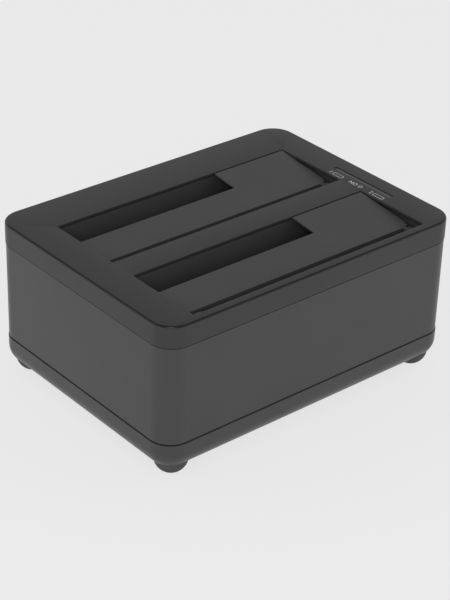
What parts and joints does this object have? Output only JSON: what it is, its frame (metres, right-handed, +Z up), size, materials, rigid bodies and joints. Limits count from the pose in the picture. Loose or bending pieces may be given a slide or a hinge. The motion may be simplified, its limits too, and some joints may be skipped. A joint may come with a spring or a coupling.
{
  "type": "hard drive docking station",
  "caption": "Box-shaped desktop dock that holds bare hard drives upright in bays closed by sprung doors, with rear data and power sockets and a rocker switch.",
  "frame": {"origin": "middle of the housing in plan, on the surface that the feet stand on", "axes": "+X along the bays towards the status lights, +Y towards the rear face with the sockets, +Z up"},
  "size_m": [0.1364, 0.1018, 0.063],
  "materials": {
    "cover_plastic": "black ABS with a fine satin texture",
    "sleeve_plastic": "dark grey ABS with a fine satin texture",
    "well_plastic": "black ABS, matt",
    "door_plastic": "black ABS with a fine satin texture",
    "foot_rubber": "dark grey rubber, matt",
    "pin_steel": "drawn steel",
    "spring_steel": "drawn spring wire",
    "screw_steel": "zinc-plated steel",
    "light_bar_plastic": "smoked clear plastic",
    "board_laminate": "green solder mask",
    "lamp_resin": "clear resin",
    "contact_gold": "gold flash",
    "socket_steel": "tinned sheet steel",
    "socket_blue": "moulded nylon",
    "black_moulding": "moulded nylon",
    "chip_resin": "moulded epoxy",
    "wire_sleeve": "PVC",
    "red_wire": "PVC",
    "can_aluminium": "drawn can",
    "ferrite": "pressed powder",
    "header_nylon": "natural nylon"
  },
  "bodies": {
    "housing": {"top_cover": "cover_plastic", "sleeve": "sleeve_plastic", "base_tray": "sleeve_plastic", "foot_front_left": "foot_rubber", "foot_front_right": "foot_rubber", "foot_rear_left": "foot_rubber", "foot_rear_right": "foot_rubber", "front_drive_well": "well_plastic", "rear_drive_well": "well_plastic", "well_screws": "screw_steel", "front_hinge_pin": "pin_steel", "rear_hinge_pin": "pin_steel", "front_door_spring": "spring_steel", "rear_door_spring": "spring_steel", "light_bar": "light_bar_plastic", "light_board": "board_laminate", "status_lights": "lamp_resin", "light_board_screws": "screw_steel", "light_cable": "wire_sleeve", "main_board": "board_laminate", "board_screws": "screw_steel", "case_screws": "screw_steel", "front_drive_connector": "black_moulding", "rear_drive_connector": "black_moulding", "front_connector_contacts": "contact_gold", "rear_connector_contacts": "contact_gold", "data_socket_shell": "socket_steel", "data_socket_core": "socket_blue", "power_socket": "black_moulding", "power_socket_pin": "pin_steel", "switch_body": "black_moulding", "switch_terminals": "pin_steel", "switch_wires": "red_wire", "bridge_chip": "chip_resin", "memory_chip": "chip_resin", "crystal": "socket_steel", "filter_capacitors": "can_aluminium", "power_inductors": "ferrite", "light_cable_header": "header_nylon"},
    "front_door_flap": {"front_door": "door_plastic"},
    "rear_door_flap": {"rear_door": "door_plastic"},
    "rocker": {"switch_rocker": "black_moulding"}
  },
  "joints": [
    {"name": "front_door_hinge", "type": "hinge", "parent": "housing", "child": "front_door_flap", "pos_m": [0, -0.04305, 0.05871], "axis": [-1, 0, 0], "range_deg": [0, 95], "stiffness_Nm_per_rad": 0.004, "springref_deg": -51.57, "deforming": ["front_door_spring"]},
    {"name": "rear_door_hinge", "type": "hinge", "parent": "housing", "child": "rear_door_flap", "pos_m": [0, 0.00195, 0.05871], "axis": [-1, 0, 0], "range_deg": [0, 95], "stiffness_Nm_per_rad": 0.004, "springref_deg": -51.57, "deforming": ["rear_door_spring"]},
    {"name": "power_switch", "type": "hinge", "parent": "housing", "child": "rocker", "pos_m": [-0.0212, 0.04885, 0.0281], "axis": [0, 0, 1], "range_deg": [0, 16]}
  ]
}
